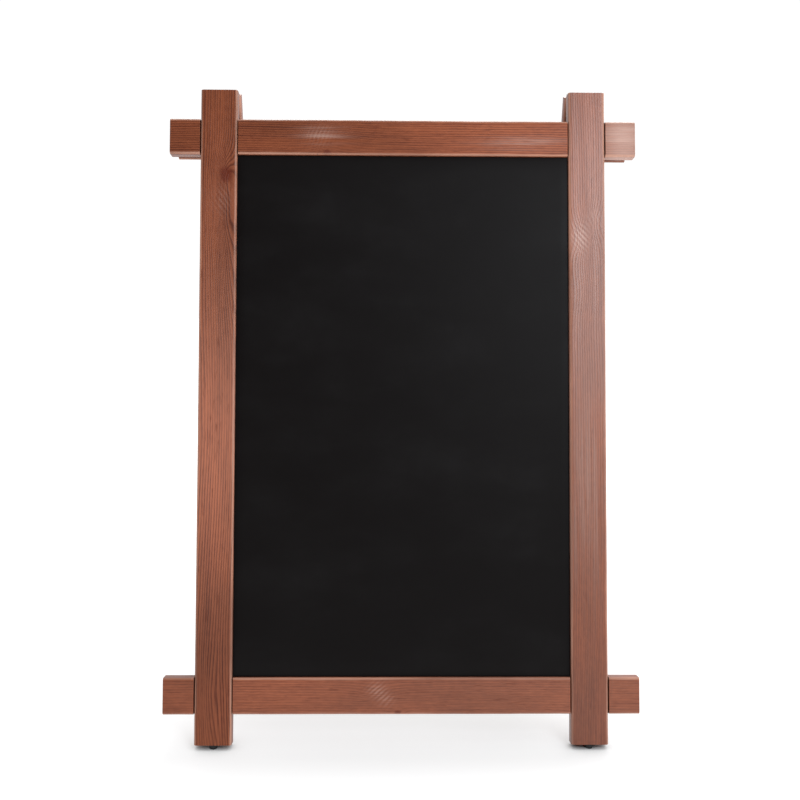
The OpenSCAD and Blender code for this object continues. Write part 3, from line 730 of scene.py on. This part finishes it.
# the sweep glows with painted light of its own, dimmer near the board, which paints shade round it
away = paper.node("ShaderNodeVectorMath", {0: paper.node("ShaderNodeTexCoord").outputs["Object"]},
                  operation="LENGTH").outputs["Value"]
paper.surface(Specular_IOR_Level=0.1, Emission_Color=(1, 1, 1, 1))
# and occlusion dims the glow right under a foot or the end of a stile: a painted contact shadow
near = paper.node("ShaderNodeAmbientOcclusion", {"Distance": 0.04}, samples=6).outputs["AO"]
painted_contact_shadow = paper.step(near, 0.06, 0.9, 0.16, 1.0)
painted_glow = paper.math("MULTIPLY", paper.step(away, 0.3, 1.6, 0.77, 0.92), painted_contact_shadow)
on_floor = paper.node("ShaderNodeTexCoord").outputs["Object"]
spot = paper.node("ShaderNodeSeparateXYZ", {0: on_floor}).outputs
# painted shadow: a wide soft pool of painted shade in front of the board, and a small one under it on the
# right, taken out of the glow:
# (x, y, reach in x, reach in y, how dark)
PAINTED_SHADE_POOLS = ((-0.03, -0.195, 0.42, 0.060, 0.20), (0.17, -0.140, 0.10, 0.060, 0.12))
for at_x, at_y, reach_x, reach_y, dark in PAINTED_SHADE_POOLS:
    painted_pool = hump(paper, spot[0], spot[1], at_x, at_y, reach_x, reach_y)
    painted_glow = paper.math("SUBTRACT", painted_glow, paper.math("MULTIPLY", painted_pool, dark))
paper.surface(Emission_Strength=painted_glow)
floor_mesh.materials.append(paper.material)

world = bpy.data.worlds.new("studio_room")
scene.world = world
world.use_nodes = True
room = world.node_tree
sky = room.nodes["Background"]
sky.inputs["Color"].default_value = (1.0, 1.0, 1.0, 1)
WHITE_WALLS = 0.95
BLACK_CLOTH = 0.07
BEHIND_BOARD = 1.05
TO_THE_RIGHT = 0.55
CLOTH_FROM = 0.42         # how squarely a direction faces the front wall where the cloth begins
CLOTH_TO = 0.80           # and where it is whole
FRONT_WAY = -1.0          # the front panel faces -y
way = room.nodes.new("ShaderNodeSeparateXYZ")
room.links.new(room.nodes.new("ShaderNodeTexCoord").outputs["Generated"], way.inputs[0])
# the wall in front of the board is hung with black cloth, so the blackboard has nothing to reflect
facing = room.nodes.new("ShaderNodeMath")
facing.operation = "MULTIPLY"
facing.inputs[1].default_value = FRONT_WAY
room.links.new(way.outputs[1], facing.inputs[0])
cloth = room.nodes.new("ShaderNodeMapRange")
cloth.interpolation_type = "SMOOTHSTEP"
for socket, value in zip(list(cloth.inputs)[1:5], (CLOTH_FROM, CLOTH_TO, WHITE_WALLS, BLACK_CLOTH)):
    socket.default_value = value
room.links.new(facing.outputs[0], cloth.inputs[0])
# the right wall is brighter than the left
tilt = room.nodes.new("ShaderNodeMath")
tilt.operation = "MULTIPLY_ADD"
tilt.inputs[1].default_value = TO_THE_RIGHT
tilt.inputs[2].default_value = 1.0
room.links.new(way.outputs[0], tilt.inputs[0])
walls = room.nodes.new("ShaderNodeMath")
walls.operation = "MULTIPLY"
room.links.new(cloth.outputs[0], walls.inputs[0])
room.links.new(tilt.outputs[0], walls.inputs[1])
seen = room.nodes.new("ShaderNodeMix")
seen.inputs["B"].default_value = BEHIND_BOARD
room.links.new(room.nodes.new("ShaderNodeLightPath").outputs["Is Camera Ray"], seen.inputs["Factor"])
room.links.new(walls.outputs[0], seen.inputs["A"])
room.links.new(seen.outputs[0], sky.inputs["Strength"])


def softbox(name, place, aim, size, watts, colour=(1, 1, 1)):
    """A square area light at place, turned to face aim."""
    lamp = bpy.data.lights.new(name, "AREA")
    lamp.energy = watts
    lamp.size = size
    lamp.color = colour
    box = bpy.data.objects.new(name, lamp)
    box.location = place
    box.rotation_euler = (Vector(aim) - Vector(place)).to_track_quat("-Z", "Y").to_euler()
    scene.collection.objects.link(box)


softbox("key", place=(1.0, -1.9, 1.5), aim=(0, 0, 0.5), size=0.9, watts=27, colour=(0.90, 0.95, 1.0))
softbox("overhead", place=(0.4, 1.9, 2.6), aim=(0, 0.2, 0.0), size=2.4, watts=75)

# The camera stands a little left of the board, at three quarters of its height, looking down.
CAMERA_AT = (-0.0226, -1.2908, 0.6130)
LENS = 44.45
yaw = math.radians(0.93)
pitch = math.radians(-9.48)
roll = math.radians(0.34)
aim = Vector((math.sin(yaw) * math.cos(pitch), math.cos(yaw) * math.cos(pitch), math.sin(pitch)))
level_right = Vector((math.cos(yaw), -math.sin(yaw), 0))
level_up = level_right.cross(aim)
right = level_right * math.cos(roll) + level_up * math.sin(roll)
up = level_up * math.cos(roll) - level_right * math.sin(roll)
lens = bpy.data.cameras.new("camera")
lens.lens = LENS
lens.clip_end = 50
camera = bpy.data.objects.new("camera", lens)
camera.matrix_world = Matrix.Translation(CAMERA_AT) @ Matrix((right, up, -aim)).transposed().to_4x4()
scene.collection.objects.link(camera)
scene.camera = camera
